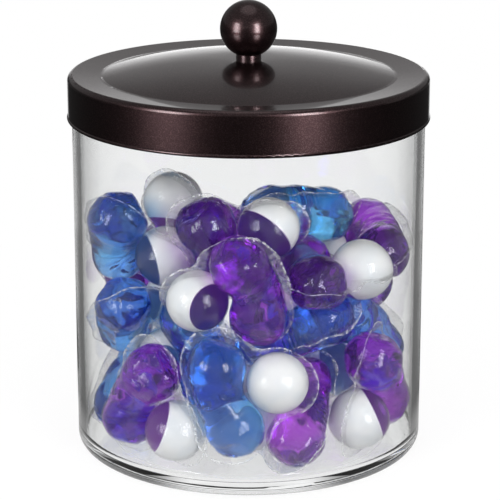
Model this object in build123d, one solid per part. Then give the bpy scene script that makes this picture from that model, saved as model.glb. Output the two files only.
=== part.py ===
from build123d import *
import os
from typing import NamedTuple

import numpy as np

# Clear storage jar with a slip-over metal lid and a ball knob, filled with laundry pods.
# Millimetres, +Z up, the jar's axis on Z and its foot on z = 0. The front is -Y.

# Jar of clear acrylic
jar_diameter = 140.0
jar_height = 150.0
jar_wall = 3.0
jar_floor = 5.0
foot_round = 5.0
inner_round = 4.0
lip_round = 1.0
foot_ring_width = 9.0
foot_recess = 0.8

# Lid of painted sheet steel
sheet = 0.8
skirt_clearance = 0.7
skirt_depth = 17.8
skirt_corner = 2.0
hem_diameter = 1.5
hem_stand = 0.4
rim_width = 13.3
rim_dip = 0.9
dome_rise = 6.6
dome_cove = 4.0
knob_seat_radius = 6.5

# Seal ring between the lid and the jar's lip
seal_thickness = 1.2
seal_width = 4.2
seal_gap = 0.1

# Ball knob and the screw that holds it
ball_radius = 11.3
neck_radius = 5.0
neck_height = 0.3
screw_radius = 2.0
screw_grip = 9.0
screw_head_radius = 3.9
screw_head_height = 2.4
screw_head_round = 0.9
thread_clearance = 0.05
hole_clearance = 0.25
washer_radius = 6.0
washer_thickness = 0.8

# One laundry pod: a white cell and a gel cell of two lobes round it, with a sealed fin
white_cell_radius = 12.0
lobe_radius = 11.5
lobe_angle = 33.0
bridge_waist = 1.5
cell_web = 1.0
cell_gap = 0.1
fin_width = 2.5
fin_thickness = 0.6
fin_notch_round = 2.5
fin_gap = 0.2

# How the pods lie in the jar
pod_gap = 0.4
start_size = 0.8
sink_step = 0.4
sink_steps = 250
ease_steps = 800
ease_limit = 0.05
turn_radius = 16.0
push_share = 0.8
floor_slope = 0.7
fin_probe_radius = 1.2
fin_probe_spacing = 3.2
body_probes = 6

inside_radius = jar_diameter / 2 - jar_wall
skirt_inner_radius = jar_diameter / 2 + skirt_clearance
skirt_radius = skirt_inner_radius + sheet
seal_radius = skirt_radius - skirt_corner
seal_inner_radius = seal_radius - seal_width
rim_dip_at_seal = rim_dip * (skirt_radius - seal_inner_radius) / rim_width
lid_top = jar_height + seal_thickness + seal_gap + sheet + rim_dip_at_seal
knob_seat = lid_top - rim_dip + dome_rise
ball_centre = knob_seat + neck_height + ball_radius
bridge_radius = lobe_radius - bridge_waist
lobe_reach = white_cell_radius + cell_web + lobe_radius
bridge_reach = white_cell_radius + cell_web + bridge_radius
white_cell_back = lobe_reach * np.cos(np.radians(lobe_angle)) * 2 / 3


class PodPlace(NamedTuple):
    """Where a pod starts: its bearing from the front to the right, its reach and its height.

    Reach is a share of the jar's inside radius, and height counts white cells above the foot.
    Spin is the way its gel points, from level right turning up, and lean tips its top outwards.
    """

    gel: str
    bearing: float
    reach: float
    height: float
    spin: float
    lean: float


pod_places = [
    PodPlace("blue", -7, 0.75, 0.83, 215, 0),
    PodPlace("purple", -50, 0.80, 0.62, 160, 0),
    PodPlace("purple", 54, 0.78, 0.62, 35, 0),
    PodPlace("purple", 33, 0.66, 0.92, 90, 70),
    PodPlace("blue", -95, 0.75, 1.04, 80, 70),
    PodPlace("purple", 10, 0.06, 0.58, 30, -90),
    PodPlace("blue", 180, 0.60, 0.58, 0, -80),
    PodPlace("purple", 130, 0.67, 0.67, 60, -70),
    PodPlace("blue", -130, 0.67, 0.67, 200, -60),
    PodPlace("blue", -35, 0.63, 1.50, 0, 0),
    PodPlace("blue", 72, 0.72, 1.58, 100, 50),
    PodPlace("purple", 165, 0.60, 1.67, 20, -60),
    PodPlace("purple", -4, 0.75, 2.42, -15, 0),
    PodPlace("blue", -62, 0.72, 1.92, 90, 80),
    PodPlace("blue", 48, 0.63, 2.08, 150, 60),
    PodPlace("purple", -98, 0.75, 2.08, 70, 60),
    PodPlace("purple", 40, 0.72, 2.75, 190, 40),
    PodPlace("purple", 88, 0.75, 2.58, 100, 40),
    PodPlace("blue", -52, 0.75, 2.83, 170, 0),
    PodPlace("purple", 12, 0.63, 3.58, 185, -10),
    PodPlace("purple", -66, 0.63, 3.75, -80, -30),
    PodPlace("blue", 45, 0.51, 3.58, 90, 60),
    PodPlace("purple", 84, 0.63, 3.42, 90, 50),
    PodPlace("purple", -160, 0.30, 3.50, 80, 80),
    PodPlace("blue", 150, 0.36, 3.67, 90, 80),
]


def ring_point(radius, height):
    """A point of a profile that turns round the jar's axis."""
    return Vector(radius, 0, height)


def turned(outline):
    """The solid that an outline in the XZ plane sweeps round the jar's axis."""
    return revolve(make_face(outline), Axis.Z)


def make_jar():
    radius = jar_diameter / 2
    ring_inner = radius - foot_round - foot_ring_width
    wall = Polyline(
        ring_point(0, foot_recess),
        ring_point(ring_inner, foot_recess),
        ring_point(ring_inner, 0),
        ring_point(radius, 0),
        ring_point(radius, jar_height),
        ring_point(inside_radius, jar_height),
        ring_point(inside_radius, jar_floor),
        ring_point(0, jar_floor),
        close=True,
    )
    jar = turned(wall)
    lip = jar.edges().filter_by(GeomType.CIRCLE).group_by(Axis.Z)[-1]
    jar = fillet(lip, lip_round)
    corner_point = ring_point(inside_radius, jar_floor)
    floor_corner = jar.edges().filter_by(GeomType.CIRCLE).sort_by_distance(corner_point)[0]
    jar = fillet(floor_corner, inner_round)
    foot = jar.edges().filter_by(GeomType.CIRCLE).group_by(Axis.Z)[0].sort_by(SortBy.RADIUS)[-1]
    return fillet(foot, foot_round)


def make_lid_shell():
    """A pressed sheet: flat seat, dome, cove, dished rim, rounded corner and skirt, with a rolled hem."""
    foot_radius = skirt_radius - rim_width
    foot_height = lid_top - rim_dip
    hole_radius = screw_radius + hole_clearance
    seat = Line(ring_point(hole_radius, knob_seat), ring_point(knob_seat_radius, knob_seat))
    dome = TangentArc(seat @ 1, ring_point(foot_radius, foot_height), tangent=(1, 0, 0))
    rim = Line(dome @ 1, ring_point(skirt_radius, lid_top))
    skirt = Line(rim @ 1, ring_point(skirt_radius, lid_top - skirt_depth + hem_diameter / 2))
    top_line = Wire([seat, dome, rim, skirt])
    corners = top_line.vertices().sort_by(Axis.X)
    top_line = top_line.fillet_2d(dome_cove, [corners[2]])
    corner = top_line.vertices().sort_by(lambda vertex: vertex.X + vertex.Z)[-1]
    top_line = top_line.fillet_2d(skirt_corner, [corner])
    shell = turned(top_line.offset_2d(sheet, side=Side.LEFT, closed=True))
    hem_centre = ring_point(
        skirt_radius + hem_stand - hem_diameter / 2, lid_top - skirt_depth + hem_diameter / 2
    )
    hem = revolve(Plane(hem_centre, z_dir=(0, -1, 0)) * Circle(hem_diameter / 2), Axis.Z)
    return shell + hem


def make_lid_seal():
    """A flat ring that lies on the jar's lip, close under the dished rim."""
    ring = Rectangle(seal_width, seal_thickness, align=(Align.MIN, Align.MIN))
    place = Plane(ring_point(seal_inner_radius, jar_height), x_dir=(1, 0, 0), z_dir=(0, -1, 0))
    return revolve(place * ring, Axis.Z)


def make_knob():
    """A ball on a short neck, with a blind tapped hole from below."""
    ball = Pos(0, 0, ball_centre) * Sphere(ball_radius)
    up = (Align.CENTER, Align.CENTER, Align.MIN)
    neck = Pos(0, 0, knob_seat) * Cylinder(neck_radius, ball_centre - knob_seat, align=up)
    hole_depth = screw_grip + hole_clearance
    hole = Pos(0, 0, knob_seat) * Cylinder(screw_radius + thread_clearance, hole_depth, align=up)
    return ball + neck - hole


def make_knob_washer():
    down = (Align.CENTER, Align.CENTER, Align.MAX)
    disc = Cylinder(washer_radius, washer_thickness, align=down)
    hole = Cylinder(screw_radius + hole_clearance, washer_thickness, align=down)
    return Pos(0, 0, knob_seat - sheet) * (disc - hole)


def make_knob_screw():
    """A pan head screw that pulls the knob down on the lid."""
    head_top = knob_seat - sheet - washer_thickness
    up = (Align.CENTER, Align.CENTER, Align.MIN)
    down = (Align.CENTER, Align.CENTER, Align.MAX)
    shank = Cylinder(screw_radius, knob_seat + screw_grip - head_top, align=up)
    head = Cylinder(screw_head_radius, screw_head_height, align=down)
    head = fillet(head.edges().group_by(Axis.Z)[0], screw_head_round)
    return Pos(0, 0, head_top) * (shank + head)


def lobe_places():
    """Middles of the white cell and of the two gel lobes, in the pod's own frame."""
    along = lobe_reach * np.cos(np.radians(lobe_angle)) - white_cell_back
    aside = lobe_reach * np.sin(np.radians(lobe_angle))
    return np.array([[-white_cell_back, 0, 0], [along, aside, 0], [along, -aside, 0]])


def bridge_arc():
    """The middle line of the gel between its lobes, round the white cell."""
    return CenterArc((-white_cell_back, 0), bridge_reach, -lobe_angle, 2 * lobe_angle)


def pod_outline(margin):
    """The pod seen square on, grown by a margin past its cells."""
    white, *lobes = lobe_places()
    outline = Pos(*white) * Circle(white_cell_radius + margin)
    for lobe in lobes:
        outline += Pos(*lobe) * Circle(lobe_radius + margin)
    outline += SlotArc(bridge_arc(), 2 * (bridge_radius + margin))
    return fillet(outline.vertices(), fin_notch_round)


def make_white_cell():
    return Pos(*lobe_places()[0]) * Sphere(white_cell_radius)


def make_pouch():
    """The gel cell with the fin all round, open where the white cell sits."""
    white, *lobes = lobe_places()
    section = Plane(bridge_arc() @ 0, z_dir=bridge_arc() % 0) * Circle(bridge_radius)
    white_axis = Axis(tuple(white), (0, 0, 1))
    pouch = revolve(section, white_axis, 2 * lobe_angle)
    for lobe in lobes:
        pouch += Pos(*lobe) * Sphere(lobe_radius)
    pouch += extrude(pod_outline(fin_width), fin_thickness / 2, both=True)
    return pouch - Pos(*white) * Sphere(white_cell_radius + cell_gap)


def pod_probes():
    """Balls that fill a pod, as middles and radii: its cells, the bridge and a row along the fin."""
    bridge = [tuple(bridge_arc() @ share) for share in (0.25, 0.5, 0.75)]
    fin_line = pod_outline(fin_width - fin_probe_radius).face().outer_wire()
    count = round(fin_line.length / fin_probe_spacing)
    fin = [tuple(fin_line @ (step / count)) for step in range(count)]
    middles = np.vstack([lobe_places(), bridge, fin])
    radii = np.full(len(middles), fin_probe_radius)
    radii[0] = white_cell_radius
    radii[1:3] = lobe_radius
    radii[3:6] = bridge_radius
    return middles, radii


def start_heap():
    """Middles and frames of the pods as placed by hand, each facing out from the jar's axis."""
    middles = []
    frames = []
    for place in pod_places:
        bearing, spin, lean = np.radians([place.bearing, place.spin, place.lean])
        out = np.array([np.sin(bearing), -np.cos(bearing), 0])
        right = np.array([np.cos(bearing), np.sin(bearing), 0])
        up = np.array([0, 0, np.cos(lean)]) + out * np.sin(lean)
        face = out * np.cos(lean) - np.array([0, 0, np.sin(lean)])
        gel = right * np.cos(spin) + up * np.sin(spin)
        height = 2 * white_cell_radius * place.height
        middles.append(out * place.reach * inside_radius + np.array([0, 0, height]))
        frames.append(np.stack([gel, np.cross(face, gel), face], axis=1))
    return np.array(middles), np.array(frames)


def wall_depths(points, radii):
    """How far each ball is past the jar's inside, a cylinder with a rounded corner, and the way back."""
    across = np.hypot(points[..., 0], points[..., 1])
    side = across - (inside_radius - inner_round)
    below = jar_floor + inner_round - points[..., 2]
    corner = np.hypot(np.maximum(side, 0), np.maximum(below, 0))
    depths = corner + np.minimum(np.maximum(side, below), 0) - inner_round + radii + pod_gap
    in_corner = (side > 0) & (below > 0)
    inward = np.where(in_corner, side / np.maximum(corner, 1e-9), side >= below)
    upward = np.sqrt(np.maximum(1 - inward**2, 0))
    back = -points / np.maximum(across, 1e-9)[..., None] * inward[..., None]
    back[..., 2] = upward
    return depths, back


def pair_depths(first, second, radii):
    """The deepest meeting of each pair of pods: its depth, its two balls and the way to part them.

    A fin gives way to another fin, so at least one of the two balls is a cell's or a bridge's.
    """
    count = len(radii)
    rows = np.arange(len(first))
    best = [np.full(len(first), -np.inf), rows * 0, rows * 0]
    body, fin, whole = slice(0, body_probes), slice(body_probes, count), slice(0, count)
    for ones, twos in ((body, whole), (fin, body)):
        near, far = first[:, ones], second[:, twos]
        squares = (near**2).sum(-1)[:, :, None] + (far**2).sum(-1)[:, None, :]
        squares -= 2 * near @ far.transpose(0, 2, 1)
        depths = radii[ones, None] + radii[None, twos] + pod_gap - np.sqrt(np.maximum(squares, 1e-9))
        deepest = depths.reshape(len(first), -1).argmax(axis=1)
        one, two = np.divmod(deepest, depths.shape[2])
        depth = depths[rows, one, two]
        deeper = depth > best[0]
        best = [np.where(deeper, new, old) for new, old in zip((depth, one + ones.start, two), best)]
    depth, one, two = best
    apart = first[rows, one] - second[rows, two]
    apart /= np.maximum(np.linalg.norm(apart, axis=1), 1e-9)[:, None]
    return depth, one, two, apart


def spun(frames, turns):
    """Frames turned by rotation vectors."""
    angles = np.maximum(np.linalg.norm(turns, axis=1), 1e-12)[:, None, None]
    axes = turns[:, :, None] / angles
    crossed = np.cross(axes[:, None, :, 0], frames.transpose(0, 2, 1)).transpose(0, 2, 1)
    along = axes * (axes.transpose(0, 2, 1) @ frames)
    return frames * np.cos(angles) + crossed * np.sin(angles) + along * (1 - np.cos(angles))


def settled_heap():
    """Pods that swell to their size as they sink into the jar, then ease until each is clear of the rest."""
    full_probes, full_radii = pod_probes()
    middles, frames = start_heap()
    pairs = np.triu_indices(len(middles), 1)
    span = 2 * (np.linalg.norm(full_probes, axis=1) + full_radii).max() + pod_gap
    for step in range(sink_steps + ease_steps):
        sunk = min(step / sink_steps, 1)
        middles[:, 2] -= sink_step * (1 - sunk)
        size = min(1, start_size + 2 * sunk * (1 - start_size))
        radii = size * full_radii
        arms = size * (full_probes @ frames.transpose(0, 2, 1))
        points = middles[:, None] + arms
        near = np.linalg.norm(middles[pairs[0]] - middles[pairs[1]], axis=1) < span
        left, right = pairs[0][near], pairs[1][near]
        depth, one, two, apart = pair_depths(points[left], points[right], radii)
        wall, back = wall_depths(points, radii)
        pods = np.arange(len(middles))
        meetings = [(depth, left, one, apart, right, two)]
        on_floor = back[..., 2] > floor_slope
        for group in (on_floor, ~on_floor):
            held = np.where(group, wall, -1)
            probe = held.argmax(axis=1)
            meetings.append((held[pods, probe], pods, probe, back[pods, probe], None, None))
        deepest = max(meeting[0].max() for meeting in meetings)
        if step > sink_steps and deepest < ease_limit:
            break
        moves = np.zeros_like(middles)
        turns = np.zeros_like(middles)
        for depth, first, ball, way, second, other in meetings:
            sides = [(first, ball, way)] if second is None else [(first, ball, way), (second, other, -way)]
            levers = [np.cross(arms[pod, probe], push) for pod, probe, push in sides]
            ease = sum(1 + (lever**2).sum(1) / turn_radius**2 for lever in levers)
            share = (push_share * np.maximum(depth, 0) / ease)[:, None]
            for (pod, probe, push), lever in zip(sides, levers):
                np.add.at(moves, pod, share * push)
                np.add.at(turns, pod, share * lever / turn_radius**2)
        middles += moves
        frames = spun(frames, turns)
    return middles, frames


def pod_location(middle, frame):
    return Plane(tuple(middle), x_dir=tuple(frame[:, 0]), z_dir=tuple(frame[:, 2])).location


def cut_back(pouch, room):
    """A pouch with its fin cut away in a room, and no loose scraps."""
    return (pouch - room).solids().sort_by(SortBy.VOLUME)[-1]


def loop_count(pouch):
    """How many loops the faces have inside their outlines: fewer if the ring round the white cell parts."""
    return sum(len(face.inner_wires()) for face in pouch.faces())


def make_pouches(middles, frames):
    """A pouch for each pod. Of two fins that cross, the later is cut back, unless its ring would part."""
    pouch = make_pouch()
    fin_room = extrude(pod_outline(fin_width + fin_gap), fin_thickness / 2 + fin_gap, both=True)
    probes, _ = pod_probes()
    fin_lines = middles[:, None] + probes[body_probes:] @ frames.transpose(0, 2, 1)
    fin_reach = 2 * fin_width + fin_probe_spacing
    places = [pod_location(middle, frame) for middle, frame in zip(middles, frames)]
    pouches = []
    for later, place in enumerate(places):
        solid = pouch.moved(place)
        for earlier in range(later):
            spans = np.linalg.norm(fin_lines[later][:, None] - fin_lines[earlier][None], axis=2)
            if spans.min() < fin_reach:
                cut = cut_back(solid, fin_room.moved(places[earlier]))
                if loop_count(cut) == loop_count(solid):
                    solid = cut
                else:
                    pouches[earlier] = cut_back(pouches[earlier], fin_room.moved(place))
        pouches.append(solid)
    return pouches


def main():
    os.makedirs("parts", exist_ok=True)
    nodes = {
        "jar": make_jar(),
        "lid_shell": make_lid_shell(),
        "lid_seal": make_lid_seal(),
        "knob": make_knob(),
        "knob_washer": make_knob_washer(),
        "knob_screw": make_knob_screw(),
    }
    middles, frames = settled_heap()
    white_cell = make_white_cell()
    for index, pouch in enumerate(make_pouches(middles, frames)):
        pod = f"pod_{index + 1:02d}"
        nodes[f"{pod}_pouch"] = pouch
        nodes[f"{pod}_white_cell"] = white_cell.moved(pod_location(middles[index], frames[index]))
    for name, solid in nodes.items():
        export_step(solid, f"parts/{name}.step")


if __name__ == "__main__":
    main()
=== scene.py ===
import math

import bpy
import numpy as np
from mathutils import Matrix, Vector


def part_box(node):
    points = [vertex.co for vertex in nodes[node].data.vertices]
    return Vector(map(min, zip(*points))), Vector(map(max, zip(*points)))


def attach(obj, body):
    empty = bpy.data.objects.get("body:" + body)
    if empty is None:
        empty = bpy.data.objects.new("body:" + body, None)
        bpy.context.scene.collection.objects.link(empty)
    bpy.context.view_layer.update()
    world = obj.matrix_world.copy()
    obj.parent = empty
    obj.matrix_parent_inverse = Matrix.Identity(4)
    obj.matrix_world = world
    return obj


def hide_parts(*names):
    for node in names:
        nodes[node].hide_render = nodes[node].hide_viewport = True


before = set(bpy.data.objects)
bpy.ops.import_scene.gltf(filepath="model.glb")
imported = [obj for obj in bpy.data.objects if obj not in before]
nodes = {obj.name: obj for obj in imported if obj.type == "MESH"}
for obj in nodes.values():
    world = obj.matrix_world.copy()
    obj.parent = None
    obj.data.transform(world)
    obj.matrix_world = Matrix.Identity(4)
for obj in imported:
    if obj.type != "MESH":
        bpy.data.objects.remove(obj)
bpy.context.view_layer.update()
print("frame loaded:", len(nodes), "nodes")

# Camera: the photograph's view, from a little above the lid

cameraView = {
    "lens": 160.3,  # mm
    "sensor": 36.0,  # mm
    "elevation": 16.28,  # degrees above level
    "distance": 0.8991,  # m from the aim point
    "aim": (0.00055, 0.0, 0.07917),
    "nearest": 0.01,  # m
}


def placeCamera():
    tilt = math.radians(cameraView["elevation"])
    aimX, aimY, aimZ = cameraView["aim"]
    data = bpy.data.cameras.new("camera")
    data.lens = cameraView["lens"]
    data.sensor_width = cameraView["sensor"]
    data.clip_start = cameraView["nearest"]
    camera = bpy.data.objects.new("camera", data)
    away = cameraView["distance"]
    camera.location = (aimX, aimY - away * math.cos(tilt), aimZ + away * math.sin(tilt))
    camera.rotation_euler = (math.pi / 2 - tilt, 0, 0)
    bpy.context.scene.collection.objects.link(camera)
    bpy.context.scene.camera = camera


placeCamera()
print("camera placed")

# Node helpers for the materials and the studio


def newMaterial(name):
    material = bpy.data.materials.new(name)
    material.use_nodes = True
    material.node_tree.nodes.clear()
    return material, material.node_tree


def addNode(tree, kind, values=None, **settings):
    node = tree.nodes.new(kind)
    for name, value in settings.items():
        setattr(node, name, value)
    for name, value in (values or {}).items():
        node.inputs[name].default_value = value
    return node


def link(tree, source, target):
    tree.links.new(source, target)


def noiseOn(tree, scale, detail=2.0, roughness=0.5):
    place = addNode(tree, "ShaderNodeTexCoord")
    noise = addNode(tree, "ShaderNodeTexNoise", {"Scale": scale, "Detail": detail, "Roughness": roughness})
    link(tree, place.outputs["Object"], noise.inputs["Vector"])
    return noise.outputs["Fac"]


def attributeOn(tree, name):
    return addNode(tree, "ShaderNodeAttribute", attribute_name=name).outputs["Fac"]


def rampOn(tree, value, low, high, outLow=0.0, outHigh=1.0):
    ramp = addNode(tree, "ShaderNodeMapRange", {1: low, 2: high, 3: outLow, 4: outHigh})
    ramp.interpolation_type = "SMOOTHSTEP"
    link(tree, value, ramp.inputs[0])
    return ramp.outputs[0]


def combine(tree, operation, first, second):
    # The second is another socket or a plain number
    node = addNode(tree, "ShaderNodeMath", operation=operation)
    link(tree, first, node.inputs[0])
    if isinstance(second, float):
        node.inputs[1].default_value = second
    else:
        link(tree, second, node.inputs[1])
    return node.outputs[0]


def sizeOf(tree, value):
    node = addNode(tree, "ShaderNodeMath", operation="ABSOLUTE")
    link(tree, value, node.inputs[0])
    return node.outputs[0]


def blendColours(tree, share, first, second):
    # Both are colours, or sockets that give one
    mix = addNode(tree, "ShaderNodeMix", data_type="RGBA")
    for name, colour in (("A", first), ("B", second)):
        if isinstance(colour, tuple):
            mix.inputs[name].default_value = (*colour, 1)
        else:
            link(tree, colour, mix.inputs[name])
    link(tree, share, mix.inputs["Factor"])
    return mix.outputs["Result"]


def mixShaders(tree, share, first, second):
    mix = addNode(tree, "ShaderNodeMixShader")
    link(tree, share, mix.inputs["Fac"])
    link(tree, first, mix.inputs[1])
    link(tree, second, mix.inputs[2])
    return mix.outputs[0]


def bumpOn(tree, height, strength, distance):
    bump = addNode(tree, "ShaderNodeBump", {"Strength": strength, "Distance": distance})
    link(tree, height, bump.inputs["Height"])
    return bump.outputs["Normal"]


def finishWith(tree, shader, volume=None):
    output = addNode(tree, "ShaderNodeOutputMaterial")
    link(tree, shader, output.inputs["Surface"])
    if volume:
        link(tree, volume, output.inputs["Volume"])


def clearToLamps(tree, shader):
    # Lamp light goes straight through, so what lies inside is lit
    path = addNode(tree, "ShaderNodeLightPath")
    through = addNode(tree, "ShaderNodeBsdfTransparent")
    return mixShaders(tree, path.outputs["Is Shadow Ray"], shader, through.outputs[0])


# Finishes: sizes of patterns are per metre, depths in m

acrylic = {
    "ior": 1.49,
    "roughness": 0.0,
    "tint": (0.985, 0.99, 0.99),
    "rippleSize": 22.0,
    "ripple": 0.02,
    "rippleDepth": 0.004,
}


def makeAcrylic():
    material, tree = newMaterial("clearAcrylic")
    glass = addNode(
        tree,
        "ShaderNodeBsdfPrincipled",
        {
            "Base Color": (*acrylic["tint"], 1),
            "Transmission Weight": 1.0,
            "IOR": acrylic["ior"],
            "Roughness": acrylic["roughness"],
        },
    )
    ripple = noiseOn(tree, acrylic["rippleSize"], 1.0)
    link(tree, bumpOn(tree, ripple, acrylic["ripple"], acrylic["rippleDepth"]), glass.inputs["Normal"])
    finishWith(tree, clearToLamps(tree, glass.outputs[0]))
    return material


bronzePaint = {
    "dark": (0.080, 0.046, 0.049),
    "light": (0.165, 0.098, 0.102),
    "roughness": 0.3,
    "coat": 0.9,
    "coatRoughness": 0.04,
    "flakeSize": 2600.0,
    "flakeRange": (0.45, 0.72),
    "peelSize": 900.0,
    "peel": 0.03,
    "peelDepth": 0.0004,
}


def makeBronzePaint():
    material, tree = newMaterial("bronzePaint")
    paint = addNode(
        tree,
        "ShaderNodeBsdfPrincipled",
        {
            "Metallic": 1.0,
            "Roughness": bronzePaint["roughness"],
            "Coat Weight": bronzePaint["coat"],
            "Coat Roughness": bronzePaint["coatRoughness"],
        },
    )
    flake = rampOn(tree, noiseOn(tree, bronzePaint["flakeSize"], 1.0), *bronzePaint["flakeRange"])
    colour = blendColours(tree, flake, bronzePaint["dark"], bronzePaint["light"])
    link(tree, colour, paint.inputs["Base Color"])
    peel = noiseOn(tree, bronzePaint["peelSize"], 1.0)
    link(tree, bumpOn(tree, peel, bronzePaint["peel"], bronzePaint["peelDepth"]), paint.inputs["Normal"])
    finishWith(tree, paint.outputs[0])
    return material


gelFinish = {
    "purple": {
        "tint": (0.60, 0.25, 0.96),
        "second": (0.76, 0.32, 0.94),
        "absorb": (0.64, 0.07, 0.84),
        "density": 52.0,
    },
    "blue": {
        "tint": (0.42, 0.60, 1.0),
        "second": (0.36, 0.82, 0.98),
        "absorb": (0.12, 0.55, 0.93),
        "density": 46.0,
    },
    "ior": 1.36,
    "clarity": 0.96,
    "driftSize": 26.0,  # how the tint drifts to its second
    "driftRange": (0.38, 0.62),
    "rippleSize": 160.0,
    "ripple": 0.12,
    "rippleDepth": 0.001,
}


def absorbIn(tree, gel):
    own = gelFinish[gel]
    values = {"Color": (*own["absorb"], 1), "Density": own["density"]}
    return addNode(tree, "ShaderNodeVolumeAbsorption", values).outputs[0]


def makeGel(gel):
    material, tree = newMaterial(gel + "Gel")
    glass = addNode(
        tree,
        "ShaderNodeBsdfPrincipled",
        {
            "Transmission Weight": gelFinish["clarity"],
            "IOR": gelFinish["ior"],
            "Roughness": 0.0,
        },
    )
    drift = rampOn(tree, noiseOn(tree, gelFinish["driftSize"], 1.0), *gelFinish["driftRange"])
    tint = blendColours(tree, drift, gelFinish[gel]["tint"], gelFinish[gel]["second"])
    link(tree, tint, glass.inputs["Base Color"])
    ripple = noiseOn(tree, gelFinish["rippleSize"])
    link(tree, bumpOn(tree, ripple, gelFinish["ripple"], gelFinish["rippleDepth"]), glass.inputs["Normal"])
    finishWith(tree, clearToLamps(tree, glass.outputs[0]), absorbIn(tree, gel))
    return material


whiteFinish = {
    "pale": (0.90, 0.91, 0.92),
    "shade": (0.82, 0.85, 0.88),
    "cloudSize": 90.0,
    "cloudRange": (0.35, 0.7),
    "roughness": 0.35,
    "shine": 0.1,
    "milkiness": 0.7,
    "milkDepth": 0.006,  # m that light goes into the liquid
    "sunk": (0.15, 0.95),  # cosine at which the gel starts, least and most
    "border": (-0.02, 0.02),
}


def makeWhiteLiquid(gel):
    # White, but clear and tinted on the side that is sunk in the gel
    material, tree = newMaterial(gel + "WhiteLiquid")
    liquid = addNode(
        tree,
        "ShaderNodeBsdfPrincipled",
        {
            "IOR": gelFinish["ior"],
            "Specular IOR Level": whiteFinish["shine"],
            "Subsurface Weight": whiteFinish["milkiness"],
            "Subsurface Radius": (1.0, 1.0, 1.0),
            "Subsurface Scale": whiteFinish["milkDepth"],
        },
    )
    side = attributeOn(tree, "gelSide")
    border = whiteFinish["border"]
    cloud = rampOn(tree, noiseOn(tree, whiteFinish["cloudSize"]), *whiteFinish["cloudRange"])
    milk = blendColours(tree, cloud, whiteFinish["pale"], whiteFinish["shade"])
    colour = blendColours(tree, rampOn(tree, side, *border), milk, gelFinish[gel]["tint"])
    link(tree, colour, liquid.inputs["Base Color"])
    clear = rampOn(tree, side, *border, 0.0, gelFinish["clarity"])
    link(tree, clear, liquid.inputs["Transmission Weight"])
    rough = rampOn(tree, side, *border, whiteFinish["roughness"], 0.0)
    link(tree, rough, liquid.inputs["Roughness"])
    # Seen from within, the white part passes on the light that falls on it from outside
    within = addNode(tree, "ShaderNodeBsdfTranslucent", {"Color": (*whiteFinish["pale"], 1)})
    inner = addNode(tree, "ShaderNodeNewGeometry").outputs["Backfacing"]
    amount = combine(tree, "MULTIPLY", inner, rampOn(tree, side, *border, 1.0, 0.0))
    finishWith(tree, mixShaders(tree, amount, liquid.outputs[0], within.outputs[0]), absorbIn(tree, gel))
    return material


filmFinish = {
    "ior": 1.6,
    "roughness": 0.05,
    "mostShine": 0.3,
    "wrinkleSize": 420.0,
    "wrinkleRoughness": 0.6,
    "wrinkle": 0.35,
    "wrinkleDepth": 0.0012,
    "paintedGlint": (0.95, 0.96, 0.97),  # white patches on the seal's edge, painted glints of its crimp
    "patchSize": 700.0,
    "patchRange": (0.35, 0.7),
    "edgeFrom": 0.7,  # share of the seal's width
    "edgeWhite": 0.55,
}


def makeFilm():
    # Clear, shinier at a grazing view, with white patches along the seal's edge that are painted glints of
    # its crimp
    material, tree = newMaterial("clearFilm")
    wrinkles = noiseOn(tree, filmFinish["wrinkleSize"], 2.0, filmFinish["wrinkleRoughness"])
    normal = bumpOn(tree, wrinkles, filmFinish["wrinkle"], filmFinish["wrinkleDepth"])
    clear = addNode(tree, "ShaderNodeBsdfTransparent")
    gloss = addNode(tree, "ShaderNodeBsdfGlossy", {"Roughness": filmFinish["roughness"]})
    link(tree, normal, gloss.inputs["Normal"])
    fresnel = addNode(tree, "ShaderNodeFresnel", {"IOR": filmFinish["ior"]})
    link(tree, normal, fresnel.inputs["Normal"])
    limited = combine(tree, "MINIMUM", fresnel.outputs[0], filmFinish["mostShine"])
    shine = mixShaders(tree, limited, clear.outputs[0], gloss.outputs[0])
    paintedGlint = addNode(tree, "ShaderNodeBsdfDiffuse", {"Color": (*filmFinish["paintedGlint"], 1)})
    patchy = rampOn(tree, noiseOn(tree, filmFinish["patchSize"], 1.0), *filmFinish["patchRange"])
    amount = combine(tree, "MULTIPLY", attributeOn(tree, "sealEdge"), patchy)
    finishWith(tree, mixShaders(tree, amount, shine, paintedGlint.outputs[0]))
    return material


sealRubber = {
    "dark": (0.62, 0.63, 0.63),
    "light": (0.72, 0.73, 0.73),
    "roughness": 0.45,
    "cloudSize": 400.0,
}


def makeRubber():
    material, tree = newMaterial("sealRubber")
    rubber = addNode(tree, "ShaderNodeBsdfPrincipled", {"Roughness": sealRubber["roughness"]})
    cloud = noiseOn(tree, sealRubber["cloudSize"])
    colour = blendColours(tree, cloud, sealRubber["dark"], sealRubber["light"])
    link(tree, colour, rubber.inputs["Base Color"])
    finishWith(tree, rubber.outputs[0])
    return material


zincSteel = {
    "dark": (0.52, 0.53, 0.55),
    "light": (0.70, 0.71, 0.73),
    "roughness": 0.32,
    "cloudSize": 1500.0,
}


def makeZinc():
    material, tree = newMaterial("zincSteel")
    values = {"Metallic": 1.0, "Roughness": zincSteel["roughness"]}
    steel = addNode(tree, "ShaderNodeBsdfPrincipled", values)
    cloud = noiseOn(tree, zincSteel["cloudSize"], 3.0)
    colour = blendColours(tree, cloud, zincSteel["dark"], zincSteel["light"])
    link(tree, colour, steel.inputs["Base Color"])
    finishWith(tree, steel.outputs[0])
    return material


finishes = {
    "jar": makeAcrylic(),
    "lid_shell": makeBronzePaint(),
    "lid_seal": makeRubber(),
    "knob_screw": makeZinc(),
}
finishes["knob"] = finishes["lid_shell"]
finishes["knob_washer"] = finishes["knob_screw"]
gelFinishes = {gel: makeGel(gel) for gel in ("purple", "blue")}
whiteFinishes = {gel: makeWhiteLiquid(gel) for gel in ("purple", "blue")}
clearFilm = makeFilm()
for name, material in finishes.items():
    nodes[name].data.materials.clear()
    nodes[name].data.materials.append(material)
print("finishes made")

# Laundry pods: gel, white liquid and the film round both, on the frame's own places. Lengths are in m.

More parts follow.
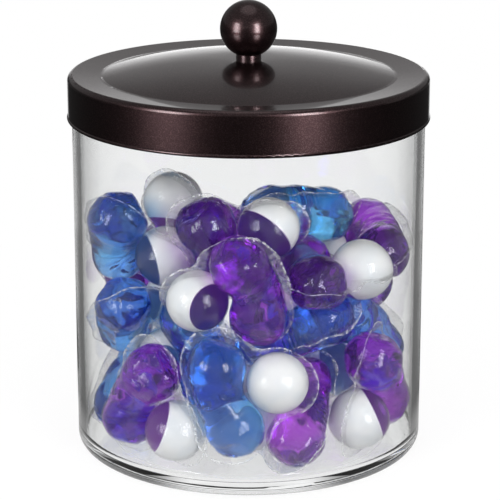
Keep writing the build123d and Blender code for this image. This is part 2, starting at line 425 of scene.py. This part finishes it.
podForm = {
    "seed": 20,
    "whiteRadius": 0.012,
    "lobeRadius": 0.0115,
    "lobeAngle": 33.0,  # degrees either side of the pod's middle line
    "bridgeRadius": 0.010,
    "web": 0.001,  # between the white cell and the gel
    "blend": 0.0009,  # how softly the gel's lobes run into its bridge
    "whiteGap": 0.00035,  # least that the gel keeps off the white cell
    "furthest": 0.032,  # more than the gel reaches from its bridge
    "gelSink": 0.0001,  # liquids within the solids' skin, film over it
    "filmStand": 0.00015,
    "whiteSink": 0.00015,
    "whiteFilmStand": 0.0001,
    "dent": 0.0008,
    "dentSize": 0.013,
    "crease": 0.0004,
    "creaseSize": 0.016,
    "creaseWidth": 0.16,
    "pleats": 46,
    "pleatDepth": 0.0004,
    "pleatReach": 0.0042,  # from the seal's plane
    "facets": 9,  # flat sides where the bag was pressed
    "facetLean": (1, 1, 1.6),  # more of them on the pod's broad sides
    "facetDepth": (0.02, 0.12),
    "facetSoftness": 0.00035,
    "airGap": (0.0045, 0.0085),  # air over the gel, least and most
    "whiteAirGap": (0.0015, 0.0048),
    "levelSoftness": 0.00025,
    "around": 72,
    "along": 64,
    "whiteAround": 48,
    "whiteAlong": 32,
}
lobeTurn = math.radians(podForm["lobeAngle"])
lobeReach = podForm["whiteRadius"] + podForm["web"] + podForm["lobeRadius"]
bridgeReach = podForm["whiteRadius"] + podForm["web"] + podForm["bridgeRadius"]
lobeAhead = lobeReach * math.cos(lobeTurn)
lobeAside = lobeReach * math.sin(lobeTurn)
whiteBack = lobeAhead * 2 / 3
whiteMiddle = np.array([-whiteBack, 0, 0])
lobeMiddles = np.array([[lobeAhead - whiteBack, side * lobeAside, 0] for side in (1, -1)])
bridgeMiddle = np.array([bridgeReach - whiteBack, 0, 0])


def meshArrays(mesh):
    points = np.empty(len(mesh.vertices) * 3, np.float32)
    mesh.vertices.foreach_get("co", points)
    mesh.calc_loop_triangles()
    corners = np.empty(len(mesh.loop_triangles) * 3, np.int32)
    mesh.loop_triangles.foreach_get("vertices", corners)
    return points.reshape(-1, 3).astype(float), corners.reshape(-1, 3)


frameSearch = {
    "closeness": (0.98, 0.999, 0.99999),  # cosine from which a face is the seal's, closer each round
    "proud": 0.003,  # further than this from the seal's plane is a cell
}


def podFrame(pod):
    # The seal's flat faces share one normal, which is the pod's z. The gel lies to the white cell's +x.
    points, corners = meshArrays(nodes[pod + "_pouch"].data)
    low, high = (np.array(corner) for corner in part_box(pod + "_white_cell"))
    white = (low + high) / 2
    a, b, c = (points[corners[:, k]] for k in range(3))
    cross = np.cross(b - a, c - a)
    areas = np.linalg.norm(cross, axis=1)
    normals = cross / np.maximum(areas, 1e-15)[:, None]
    upright = np.linalg.eigh((normals * areas[:, None]).T @ normals)[1][:, -1]
    for closeness in frameSearch["closeness"]:
        lean = normals @ upright
        flat = np.abs(lean) > closeness
        upright = ((normals * np.sign(lean)[:, None] * areas[:, None])[flat]).sum(axis=0)
        upright /= np.linalg.norm(upright)
    middles = (a + b + c) / 3 - white
    height = middles @ upright
    proud = np.abs(height) > frameSearch["proud"]
    gel = (middles * areas[:, None])[proud].sum(axis=0)
    gel -= upright * (gel @ upright)
    gel /= np.linalg.norm(gel)
    turn = np.stack([gel, np.cross(upright, gel), upright], axis=1)
    return white - turn @ whiteMiddle, turn


def softMinimum(distances, reach):
    # Smooth minimum: minus reach times the log of the sum of exp(-distance / reach)
    stack = np.stack(distances)
    least = stack.min(axis=0)
    return least - reach * np.log(np.exp((least - stack) / reach).sum(axis=0))


def bridgeDistance(points):
    # Distance to a ring arc about the white cell, less the bridge's radius
    flat = points[..., :2] - whiteMiddle[:2]
    turn = np.clip(np.arctan2(flat[..., 1], flat[..., 0]), -lobeTurn, lobeTurn)
    arc = bridgeReach * np.stack([np.cos(turn), np.sin(turn)], axis=-1)
    aside = ((flat - arc) ** 2).sum(axis=-1)
    return np.sqrt(aside + points[..., 2] ** 2) - podForm["bridgeRadius"]


def whiteDistance(points):
    # Distance to the white cell's middle, less its radius
    return np.linalg.norm(points - whiteMiddle, axis=-1) - podForm["whiteRadius"]


def gelDistance(points):
    # Two balls and the bridge between them, run together softly, kept off the white cell
    balls = [np.linalg.norm(points - middle, axis=-1) - podForm["lobeRadius"] for middle in lobeMiddles]
    joined = softMinimum([*balls, bridgeDistance(points)], podForm["blend"])
    return np.maximum(joined, podForm["whiteGap"] - whiteDistance(points))


def polarGrid(around, along):
    # Unit directions: polar angle from +y in rings, turned about y, poles left out
    polar = (np.arange(along) + 1) * math.pi / (along + 1)
    turn = np.arange(around) * 2 * math.pi / around
    polar, turn = np.meshgrid(polar, turn, indexing="ij")
    return np.stack([np.sin(polar) * np.sin(turn), np.cos(polar), np.sin(polar) * np.cos(turn)], axis=-1)


def gelReach(directions, halvings=26):
    # Distance along each direction from the bridge's middle to the gel's skin, by halving
    near = np.zeros(directions.shape[:-1])
    far = np.full(directions.shape[:-1], podForm["furthest"])
    for _ in range(halvings):
        middle = (near + far) / 2
        inside = gelDistance(bridgeMiddle + directions * middle[..., None]) < 0
        near = np.where(inside, middle, near)
        far = np.where(inside, far, middle)
    return near


def waves(points, random, size, count=7):
    # Sum of sines along random directions, about one wave per size, mostly within -1 and 1: 1.7 is about
    # a random direction's length, and 1.6 about how far the sum goes
    ways = random.normal(size=(count, 3)) * 2 * math.pi / size / 1.7
    phases = random.uniform(0, 2 * math.pi, count)
    return np.sin(points @ ways.T + phases).sum(axis=-1) / math.sqrt(count) / 1.6


def pleatsOn(points, random):
    # Folds that run out to the seal: a sine round the pod, strongest at the seal's plane
    turn = np.arctan2(points[..., 1], points[..., 0])
    wander = 1.6 * np.sin(3 * turn + random.uniform(0, 6)) + np.sin(7 * turn + random.uniform(0, 6))
    closeness = np.exp(-((points[..., 2] / podForm["pleatReach"]) ** 2))
    return closeness * (0.5 + 0.5 * np.sin(podForm["pleats"] * turn + 2 * wander))


def ballFaces(rings, around):
    # Quads between rings and fans of triangles at the two poles
    ring = np.arange(rings * around).reshape(rings, around)
    beside = np.roll(ring, -1, axis=1)
    quads = np.stack([ring[:-1], ring[1:], beside[1:], beside[:-1]], axis=-1).reshape(-1, 4)
    top = np.stack([np.full(around, rings * around), ring[0], beside[0]], axis=-1)
    foot = np.stack([np.full(around, rings * around + 1), beside[-1], ring[-1]], axis=-1)
    return quads.tolist() + top.tolist() + foot.tolist()


def ringFaces(rings, around):
    # Quads of a closed ring of closed sections
    ring = np.arange(rings * around).reshape(rings, around)
    beside = np.roll(ring, -1, axis=1)
    ahead = np.roll(ring, -1, axis=0)
    both = np.roll(beside, -1, axis=0)
    return np.stack([ring, ahead, both, beside], axis=-1).reshape(-1, 4).tolist()


def shifted(faces, start):
    return [[corner + start for corner in face] for face in faces]


def makePiece(name, points, faces, material):
    mesh = bpy.data.meshes.new(name)
    mesh.from_pydata(points.tolist(), [], faces)
    mesh.polygons.foreach_set("use_smooth", np.ones(len(faces), dtype=bool))
    mesh.materials.append(material)
    mesh.update()
    piece = bpy.data.objects.new(name, mesh)
    bpy.context.scene.collection.objects.link(piece)
    return piece


def paintPoints(piece, name, values):
    attribute = piece.data.attributes.new(name, "FLOAT", "POINT")
    attribute.data.foreach_set("value", np.asarray(values, np.float32))


def withPoles(grid, poles):
    return np.vstack([grid.reshape(-1, 3), poles])


def levelled(points, gap):
    # Liquid under air: heights pass smoothly into a level, the given gap below the highest point
    heights = points[:, 2]
    levels = np.full_like(heights, heights.max() - gap)
    points = points.copy()
    points[:, 2] = -softMinimum([-heights, -levels], podForm["levelSoftness"])
    points[:, 2] = np.minimum(points[:, 2], heights)
    return points


podDirections = polarGrid(podForm["around"], podForm["along"])
poleDirections = np.array([[0, 1.0, 0], [0, -1.0, 0]])
gelGrid = gelReach(podDirections)
gelPoles = gelReach(poleDirections)
podFaces = ballFaces(podForm["along"], podForm["around"])
whiteWays = withPoles(polarGrid(podForm["whiteAround"], podForm["whiteAlong"]), poleDirections)
whiteFaces = ballFaces(podForm["whiteAlong"], podForm["whiteAround"])
print("pod surfaces worked out")


def pressFlat(random, leastCosine=0.05):
    # Each facet is a plane a little inside the gel's furthest reach its way: a direction's own reach is
    # softly kept below the plane's distance over the cosine between the two
    ways = random.normal(size=(podForm["facets"], 3)) * podForm["facetLean"]
    ways /= np.linalg.norm(ways, axis=1)[:, None]
    reached = (gelGrid[..., None] * (podDirections @ ways.T)).reshape(-1, len(ways)).max(axis=0)
    distances = reached * (1 - random.uniform(*podForm["facetDepth"], len(ways)))
    kept = []
    for directions, reach in ((podDirections, gelGrid), (poleDirections, gelPoles)):
        limits = distances / np.maximum(directions @ ways.T, leastCosine)
        kept.append(softMinimum([reach, *np.moveaxis(limits, -1, 0)], podForm["facetSoftness"]))
    return kept


def podSkin(stand, random):
    # The gel's skin in the pod's frame: reach along each direction, less facets, dents, creases and pleats,
    # plus a stand-off
    skin = bridgeMiddle + podDirections * gelGrid[..., None]
    pressed, pressedPoles = pressFlat(random)
    dents = podForm["dent"] * (0.5 + 0.5 * waves(skin, random, podForm["dentSize"]))
    folds = waves(skin, random, podForm["creaseSize"]) / podForm["creaseWidth"]
    dents = dents + podForm["crease"] * np.exp(-(folds**2))
    dents = dents + podForm["pleatDepth"] * pleatsOn(skin, random)
    skin = bridgeMiddle + podDirections * (pressed - dents + stand)[..., None]
    poles = bridgeMiddle + poleDirections * (pressedPoles - podForm["dent"] / 2 + stand)[:, None]
    return withPoles(skin, poles)


def whiteSkin(radius):
    # A ball in the pod's frame: its middle plus the radius along each direction
    return whiteMiddle + whiteWays * radius


sealForm = {
    "width": 0.0042,
    "thickness": 0.0003,
    "blend": 0.0022,  # how softly its outline runs from one cell to the next
    "furthest": 0.036,  # more than the cells reach from the pod's middle
    "steps": 256,
    "shares": (0.0, 0.2, 0.42, 0.65, 0.86, 1.0),  # of the width, from the cells to the edge
    "section": (1.0, 0.8, 0.7, 0.7, 0.9, 1.3),  # thickness at those shares
    "ruffle": 0.0011,
    "crimp": 0.00022,
    "trim": 0.10,
    "clearance": 0.00035,  # to other pods' cells
}


def sealOutline(turns, level, tries=289):
    # How far from the pod's middle the given distance to its cells is reached last, along each turn
    reach = np.linspace(0, sealForm["furthest"], tries)
    ways = np.stack([np.cos(turns), np.sin(turns), np.zeros_like(turns)], axis=-1)
    points = ways[:, None] * reach[None, :, None]
    inside = softMinimum([gelDistance(points), whiteDistance(points)], sealForm["blend"]) < level
    last = inside.shape[1] - 1 - inside[:, ::-1].argmax(axis=1)
    return reach[last]


def smoothRound(values, width):
    # Running mean round a closed loop
    return np.mean([np.roll(values, step) for step in range(-width, width + 1)], axis=0)


sealTurns = np.arange(sealForm["steps"]) * 2 * math.pi / sealForm["steps"]
sealInner = smoothRound(sealOutline(sealTurns, 0.0), 2)
sealOuter = smoothRound(sealOutline(sealTurns, sealForm["width"]), 3)
sealShares = np.array(sealForm["shares"])


def sealSheet(random):
    # The seal's middle sheet: from the cells out to its edge, ruffled more the further out, finely crimped
    share = sealShares[None, :]
    turn = sealTurns[:, None]
    sway = sum(np.sin(n * turn + random.uniform(0, 6)) * random.uniform(0.5, 1) for n in (2, 3, 5, 9, 14))
    crimp = np.sin(podForm["pleats"] * turn + 3 * np.sin(4 * turn + random.uniform(0, 6)))
    lift = sealForm["ruffle"] * sway / 2.2 * share**1.5
    lift = lift + sealForm["crimp"] * crimp * share * (1.3 - share)
    trim = 1 - sealForm["trim"] * (0.5 + 0.5 * np.sin(3 * turn + random.uniform(0, 6)))
    reach = sealInner[:, None] + (sealOuter * trim[:, 0] - sealInner)[:, None] * share
    return np.stack([reach * np.cos(turn), reach * np.sin(turn), lift], axis=-1)


def sealSections(sheet, upright):
    # A thin closed section round the sheet: upper side out, lower side back, with a bead at the edge
    half = sealForm["thickness"] / 2 * np.array(sealForm["section"])
    offset = upright * half[:, None]
    return np.concatenate([sheet + offset, (sheet - offset)[:, ::-1]], axis=1)


podNames = sorted(name[: -len("_pouch")] for name in nodes if name.endswith("_pouch"))
podFrames = [podFrame(pod) for pod in podNames]
bridgeTurns = np.linspace(-lobeTurn, lobeTurn, 5)
bridgeWays = np.stack([np.cos(bridgeTurns), np.sin(bridgeTurns), 0 * bridgeTurns], axis=-1)
cellMiddles = np.vstack([whiteMiddle, lobeMiddles, whiteMiddle + bridgeReach * bridgeWays])
cellRadii = sealForm["clearance"] + np.array(
    [podForm["whiteRadius"]]
    + [podForm["lobeRadius"]] * len(lobeMiddles)
    + [podForm["bridgeRadius"]] * len(bridgeTurns)
)
heapCells = [middle + cellMiddles @ turn.T for middle, turn in podFrames]
jarInside = {"radius": 0.0666, "floor": 0.0054}  # with a little air to the wall and the floor


def clearOfCells(points, own, rounds=3):
    # Moves points out of the other pods' cells, each away from the cell's middle, and off the jar
    for _ in range(rounds):
        for pod in range(len(heapCells)):
            if pod == own:
                continue
            away = points[:, None] - heapCells[pod]
            span = np.linalg.norm(away, axis=-1)
            push = np.maximum(cellRadii - span, 0)
            points = points + (away / np.maximum(span, 1e-9)[..., None] * push[..., None]).sum(axis=1)
        across = np.linalg.norm(points[:, :2], axis=1)
        points[:, :2] *= np.minimum(1, jarInside["radius"] / np.maximum(across, 1e-9))[:, None]
        points[:, 2] = np.maximum(points[:, 2], jarInside["floor"])
    return points


def gelOf(pod):
    slot = nodes[pod + "_pouch"].data.materials[0].name
    return "blue" if slot.startswith("blue") else "purple"


def gelSide(turn, random):
    # Cosine of each direction with the way half between the gel and the pod's lower face, less the cosine
    # at which the gel starts
    lower = -1 if turn[2, 2] > 0 else 1
    way = np.array([1, 0, lower]) / math.sqrt(2)
    return whiteWays @ way - random.uniform(*whiteFinish["sunk"])


def makeFilmPiece(pod, overGel, overWhite, seal):
    start = len(overGel) + len(overWhite)
    points = np.vstack([overGel, overWhite, seal.reshape(-1, 3)])
    faces = podFaces + shifted(whiteFaces, len(overGel))
    faces += shifted(ringFaces(len(sealTurns), seal.shape[1]), start)
    filmPiece = makePiece(pod + "_film", points, faces, clearFilm)
    share = np.concatenate([sealShares, sealShares[::-1]])
    outer = np.clip((share - filmFinish["edgeFrom"]) / (1 - filmFinish["edgeFrom"]), 0, 1)
    edge = np.zeros(len(points))
    # The seal's outer edge takes the painted glints, most at its rim
    edge[start:] = np.tile(outer, len(sealTurns)) * filmFinish["edgeWhite"]
    paintPoints(filmPiece, "sealEdge", edge)
    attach(filmPiece, "jar")


def makePod(index, pod):
    seed = podForm["seed"] + index
    skinSeed = seed + 100
    random = np.random.default_rng(seed)
    middle, turn = podFrames[index]
    gel = gelOf(pod)

    skin = middle + podSkin(-podForm["gelSink"], np.random.default_rng(skinSeed)) @ turn.T
    liquid = levelled(skin, random.uniform(*podForm["airGap"]))
    gelPiece = makePiece(pod + "_gel", liquid, podFaces, gelFinishes[gel])
    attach(gelPiece, "jar")
    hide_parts(pod + "_pouch")

    white = middle + whiteSkin(podForm["whiteRadius"] - podForm["whiteSink"]) @ turn.T
    liquid = levelled(white, random.uniform(*podForm["whiteAirGap"]))
    whitePiece = makePiece(pod + "_white", liquid, whiteFaces, whiteFinishes[gel])
    paintPoints(whitePiece, "gelSide", gelSide(turn, np.random.default_rng(seed + 200)))
    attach(whitePiece, "jar")
    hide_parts(pod + "_white_cell")

    overGel = middle + podSkin(podForm["filmStand"], np.random.default_rng(skinSeed)) @ turn.T
    overWhite = middle + whiteSkin(podForm["whiteRadius"] + podForm["whiteFilmStand"]) @ turn.T
    sheet = middle + sealSheet(random).reshape(-1, 3) @ turn.T
    sheet = clearOfCells(sheet, index).reshape(len(sealTurns), -1, 3)
    makeFilmPiece(pod, overGel, overWhite, sealSections(sheet, turn[:, 2]))


for index, pod in enumerate(podNames):
    makePod(index, pod)
print("pods made:", len(podNames))

# Studio: a pale floor, two tall soft boxes, and surroundings that show matt surfaces an even light, shiny
# ones a strip low behind the jar, and clear ones a white rear between two dark flags

surroundings = {
    "fill": 1.0,  # light on matt surfaces from all round
    "front": 0.03,  # what shiny surfaces see all round, but for a strip behind the jar
    "strip": [  # sine of the height, level
        (-0.35, 0.6),
        (-0.2, 0.7),
        (-0.1, 1.6),
        (0.0, 1.25),
        (0.04, 1.0),
        (0.08, 0.85),
        (0.12, 0.6),
        (0.16, 0.4),
        (0.22, 0.26),
        (0.36, 0.26),
        (0.5, 0.2),
        (0.9, 0.14),
    ],
    "stripSide": (0.14, 0.32),  # sines of the turn away from straight back over which it ends
    "stripBack": (0.0, 0.1),
    "upperShine": 0.15,  # what shiny surfaces see above level, all round
    "upperFrom": (0.03, 0.14),
    "topShine": 0.5,
    "topShineFrom": (0.85, 0.95),
    "flag": 0.2,  # the flags, which only show through glass
    "flagFrom": (0.18, 0.42),  # sines of the turn away from straight back
    "flagTo": (0.58, 0.75),
    "rearFrom": (-0.4, 0.2),
    "frontGlow": 0.55,  # the front and sides, seen through both walls
    "nearGlow": 0.08,  # the same, mirrored inside the near wall
    "nearFaces": (2.4, 2.6),  # up to two faces crossed is the near wall alone
    "topGlow": 0.7,
    "topGlowFrom": (0.25, 0.8),
}


def frontLevel(tree, path):
    # Light that has crossed only the near wall, in and out, is a reflection in it
    near, both = surroundings["nearGlow"], surroundings["frontGlow"]
    return rampOn(tree, path.outputs["Transmission Depth"], *surroundings["nearFaces"], near, both)


def flagsOn(tree, path, turn, start, stop):
    # One straight back, dark where the flags stand, then the front's level at the sides
    inner = rampOn(tree, turn, *start, 1.0, surroundings["flag"])
    outer = combine(tree, "MULTIPLY", rampOn(tree, turn, *stop), frontLevel(tree, path))
    return combine(tree, "MAXIMUM", inner, outer)


def stripOn(tree, above):
    # The strip's level by the sine of the height, blended from one stop to the next
    height = addNode(tree, "ShaderNodeMapRange", {1: -1.0, 2: 1.0, 3: 0.0, 4: 1.0})
    link(tree, above, height.inputs[0])
    strip = addNode(tree, "ShaderNodeValToRGB")
    stops = strip.color_ramp.elements
    stops.remove(stops[1])
    stops[0].color = (surroundings["strip"][0][1],) * 3 + (1,)
    for sine, level in surroundings["strip"]:
        stops.new((sine + 1) / 2).color = (level, level, level, 1)
    link(tree, height.outputs[0], strip.inputs[0])
    return strip.outputs["Color"]


def shinyLevel(tree, apart, behind, above):
    # The strip, narrowed to the back, or the upper or the top level where that is more
    front = surroundings["front"]
    narrow = combine(
        tree,
        "MINIMUM",
        rampOn(tree, apart, *surroundings["stripSide"], 1.0, front),
        rampOn(tree, behind, *surroundings["stripBack"], front, 1.0),
    )
    level = combine(tree, "MULTIPLY", stripOn(tree, above), narrow)
    upper = rampOn(tree, above, *surroundings["upperFrom"], 0.0, surroundings["upperShine"])
    level = combine(tree, "MAXIMUM", level, upper)
    top = rampOn(tree, above, *surroundings["topShineFrom"], 0.0, surroundings["topShine"])
    return combine(tree, "MAXIMUM", level, top)


def clearLevel(tree, path, apart, behind, above):
    # The rear with its flags, run into the front's level, a little darker overhead
    rear = flagsOn(tree, path, apart, surroundings["flagFrom"], surroundings["flagTo"])
    rear = combine(tree, "MULTIPLY", rear, rampOn(tree, behind, *surroundings["rearFrom"]))
    facing = rampOn(tree, behind, *surroundings["rearFrom"], 1.0, 0.0)
    facing = combine(tree, "MULTIPLY", frontLevel(tree, path), facing)
    level = combine(tree, "ADD", rear, facing)
    overhead = rampOn(tree, above, *surroundings["topGlowFrom"], 1.0, surroundings["topGlow"])
    return combine(tree, "MULTIPLY", level, overhead)


def makeWorld():
    world = bpy.data.worlds.new("studio")
    world.use_nodes = True
    world.cycles.sampling_method = "NONE"
    tree = world.node_tree
    tree.nodes.clear()
    path = addNode(tree, "ShaderNodeLightPath")
    place = addNode(tree, "ShaderNodeTexCoord")
    split = addNode(tree, "ShaderNodeSeparateXYZ")
    link(tree, place.outputs["Generated"], split.inputs[0])
    aside, behind, above = (split.outputs[axis] for axis in "XYZ")
    apart = sizeOf(tree, aside)
    level = addNode(tree, "ShaderNodeMix", {"A": surroundings["fill"]})
    link(tree, path.outputs["Is Glossy Ray"], level.inputs["Factor"])
    link(tree, shinyLevel(tree, apart, behind, above), level.inputs["B"])
    through = addNode(tree, "ShaderNodeMix")
    link(tree, path.outputs["Is Transmission Ray"], through.inputs["Factor"])
    link(tree, level.outputs[0], through.inputs["A"])
    link(tree, clearLevel(tree, path, apart, behind, above), through.inputs["B"])
    seen = combine(tree, "MAXIMUM", through.outputs[0], path.outputs["Is Camera Ray"])
    back = addNode(tree, "ShaderNodeBackground", {"Color": (1, 1, 1, 1)})
    link(tree, seen, back.inputs["Strength"])
    output = addNode(tree, "ShaderNodeOutputWorld")
    link(tree, back.outputs[0], output.inputs["Surface"])
    bpy.context.scene.world = world


paleFloor = {
    "radius": 0.34,
    "innermost": 0.02,
    "rings": 16,
    "steps": 96,
    "below": 0.0002,  # under the foot
    "colour": (0.9, 0.9, 0.9),
    "glow": 0.88,  # how white the camera sees it by the foot
    "glowFade": (0.08, 0.306),  # from the middle, to white
    "wall": 0.066,  # where the painted shade of the flags starts, from the jar's middle
    "leastBack": 0.02,
    "frontTo": (-0.13, -0.09),  # y at which the front's level ends
    "shine": 0.6,  # painted light on the floor that shiny surfaces see, by the foot and behind
    "shineBeside": (0.075, 0.105),
    "shineBehind": (0.1, 0.2),
    "shineSide": (0.14, 0.34),  # tangents of the turn away from straight back
    "farShine": 0.02,
}


def floorClearLevel(tree, path, share, tangent, y):
    # As in the surroundings, with the turn's tangent for its sine, so that the floor runs into them:
    # painted shade beside the jar where the flags stand, and in front of it
    start = [math.tan(math.asin(sine)) for sine in surroundings["flagFrom"]]
    stop = [math.tan(math.asin(sine)) for sine in surroundings["flagTo"]]
    level = combine(tree, "MULTIPLY", share, flagsOn(tree, path, tangent, start, stop))
    behind = rampOn(tree, y, *paleFloor["frontTo"])
    return combine(tree, "MULTIPLY", level, combine(tree, "MAXIMUM", behind, frontLevel(tree, path)))


def floorShinyLevel(tree, far, tangent, y):
    # Painted light on the floor, seen only in reflections: bright close to the foot and straight behind it,
    # dark further out
    shine = paleFloor["shine"]
    rear = combine(
        tree,
        "MULTIPLY",
        rampOn(tree, y, *paleFloor["shineBehind"], 0.0, shine),
        rampOn(tree, tangent, *paleFloor["shineSide"], 1.0, surroundings["front"]),
    )
    beside = rampOn(tree, far, *paleFloor["shineBeside"], shine, paleFloor["farShine"])
    return combine(tree, "MAXIMUM", beside, rear)


def glowWhere(tree, share, level, shader):
    # Gives way to a white glow by the share, at the level or at one
    glow = addNode(tree, "ShaderNodeEmission", {"Color": (1, 1, 1, 1), "Strength": 1.0})
    if level:
        link(tree, level, glow.inputs["Strength"])
    return mixShaders(tree, share, shader, glow.outputs[0])


def makeFloorFinish():
    material, tree = newMaterial("paleFloor")
    path = addNode(tree, "ShaderNodeLightPath")
    place = addNode(tree, "ShaderNodeTexCoord")
    away = addNode(tree, "ShaderNodeVectorMath", operation="LENGTH")
    link(tree, place.outputs["Object"], away.inputs[0])
    far = away.outputs["Value"]
    split = addNode(tree, "ShaderNodeSeparateXYZ")
    link(tree, place.outputs["Object"], split.inputs[0])
    y = split.outputs["Y"]
    outside = combine(tree, "SUBTRACT", sizeOf(tree, split.outputs["X"]), paleFloor["wall"])
    tangent = combine(tree, "DIVIDE", outside, combine(tree, "MAXIMUM", y, paleFloor["leastBack"]))
    share = rampOn(tree, far, *paleFloor["glowFade"], paleFloor["glow"], 1.0)
    mirrored = combine(tree, "MULTIPLY", path.outputs["Is Glossy Ray"], path.outputs["Is Reflection Ray"])
    seen = combine(tree, "MULTIPLY", path.outputs["Is Camera Ray"], share)
    matt = addNode(tree, "ShaderNodeBsdfDiffuse", {"Color": (*paleFloor["colour"], 1)})
    # Through glass and in reflections the floor shows painted light and shade, not its lit colour
    through = floorClearLevel(tree, path, share, tangent, y)
    shader = glowWhere(tree, path.outputs["Is Transmission Ray"], through, matt.outputs[0])
    shader = glowWhere(tree, mirrored, floorShinyLevel(tree, far, tangent, y), shader)
    finishWith(tree, glowWhere(tree, seen, None, shader))
    return material


def makeFloor():
    # A disc: rings of growing radius round a middle point, just under the foot
    rings, steps = paleFloor["rings"], paleFloor["steps"]
    radii = np.linspace(paleFloor["innermost"], paleFloor["radius"], rings)
    turns = np.arange(steps) * 2 * math.pi / steps
    grid = radii[:, None, None] * np.stack([np.cos(turns), np.sin(turns), 0 * turns], axis=-1)
    points = np.vstack([grid.reshape(-1, 3), [[0, 0, 0]]]) - [0, 0, paleFloor["below"]]
    ring = np.arange(rings * steps).reshape(rings, steps)
    onward = np.roll(ring, -1, axis=1)
    quads = np.stack([ring[:-1], ring[1:], onward[1:], onward[:-1]], axis=-1).reshape(-1, 4)
    middle = np.stack([np.full(steps, rings * steps), ring[0], onward[0]], axis=-1)
    floor = makePiece("floor", points, quads.tolist() + middle.tolist(), makeFloorFinish())


softBoxes = {
    "boxes": [  # bearings in degrees from the front
        {
            "name": "softBoxLeft",
            "bearing": -49,
            "width": 0.62,
            "glow": 6.0,
            "lampBearing": -40,
            "power": 3.9,
        },
        {
            "name": "softBoxRight",
            "bearing": 35,
            "width": 0.50,
            "glow": 8.5,
            "lampBearing": 36,
            "power": 3.9,
        },
    ],
    "away": 0.95,
    "low": 0.03,
    "high": 0.62,
    "fade": 0.9,  # share of half the width
    "across": 33,
    "up": 17,
    "lampRise": 28,  # degrees above level
    "lampAim": 0.07,  # height that the lamps point at
}


def makeCard(box):
    # A card bent round the jar's axis, which only shows in reflections: a grid of bearing and height,
    # brightest in its middle and faded at its sides
    away, low, high = softBoxes["away"], softBoxes["low"], softBoxes["high"]
    across, up = softBoxes["across"], softBoxes["up"]
    shareX, shareZ = np.meshgrid(np.linspace(-1, 1, across), np.linspace(-1, 1, up))
    turn = math.radians(box["bearing"]) + shareX * box["width"] / 2 / away
    heights = low + (high - low) * (shareZ + 1) / 2
    points = np.stack([away * np.sin(turn), -away * np.cos(turn), heights], axis=-1)
    ring = np.arange(across * up).reshape(up, across)
    faces = np.stack([ring[:-1, :-1], ring[:-1, 1:], ring[1:, 1:], ring[1:, :-1]], axis=-1).reshape(-1, 4)
    name = box["name"] + "Card"
    material, tree = newMaterial(name)
    light = addNode(tree, "ShaderNodeEmission", {"Color": (1, 1, 1, 1)})
    link(tree, attributeOn(tree, "glow"), light.inputs["Strength"])
    finishWith(tree, light.outputs[0])
    card = makePiece(name, points.reshape(-1, 3), faces.tolist(), material)
    edge = np.clip((1 - np.abs(shareX)) / softBoxes["fade"], 0, 1)
    paintPoints(card, "glow", (box["glow"] * edge**2 * (3 - 2 * edge)).ravel())
    card.visible_camera = False
    card.visible_diffuse = False
    card.visible_shadow = False


def makeLamp(box):
    # A tall lamp that faces the jar's axis, kept out of reflections
    turn = math.radians(box["lampBearing"])
    rise = math.radians(softBoxes["lampRise"])
    data = bpy.data.lights.new(box["name"], "AREA")
    data.shape = "RECTANGLE"
    data.size = box["width"] / 2
    data.size_y = softBoxes["high"] - softBoxes["low"]
    data.energy = box["power"]
    lamp = bpy.data.objects.new(box["name"], data)
    reach = softBoxes["away"] * math.cos(rise)
    height = softBoxes["lampAim"] + softBoxes["away"] * math.sin(rise)
    lamp.location = (reach * math.sin(turn), -reach * math.cos(turn), height)
    lamp.rotation_euler = (math.pi / 2 - rise, 0, turn)
    lamp.visible_glossy = False
    lamp.visible_transmission = False
    bpy.context.scene.collection.objects.link(lamp)


makeWorld()
makeFloor()
for box in softBoxes["boxes"]:
    makeLamp(box)
    makeCard(box)
print("studio lit")

scene = bpy.context.scene
scene.view_settings.view_transform = "Standard"
scene.cycles.max_bounces = 24
scene.cycles.transmission_bounces = 24
scene.cycles.transparent_max_bounces = 48
scene.cycles.glossy_bounces = 8
scene.cycles.use_denoising = True
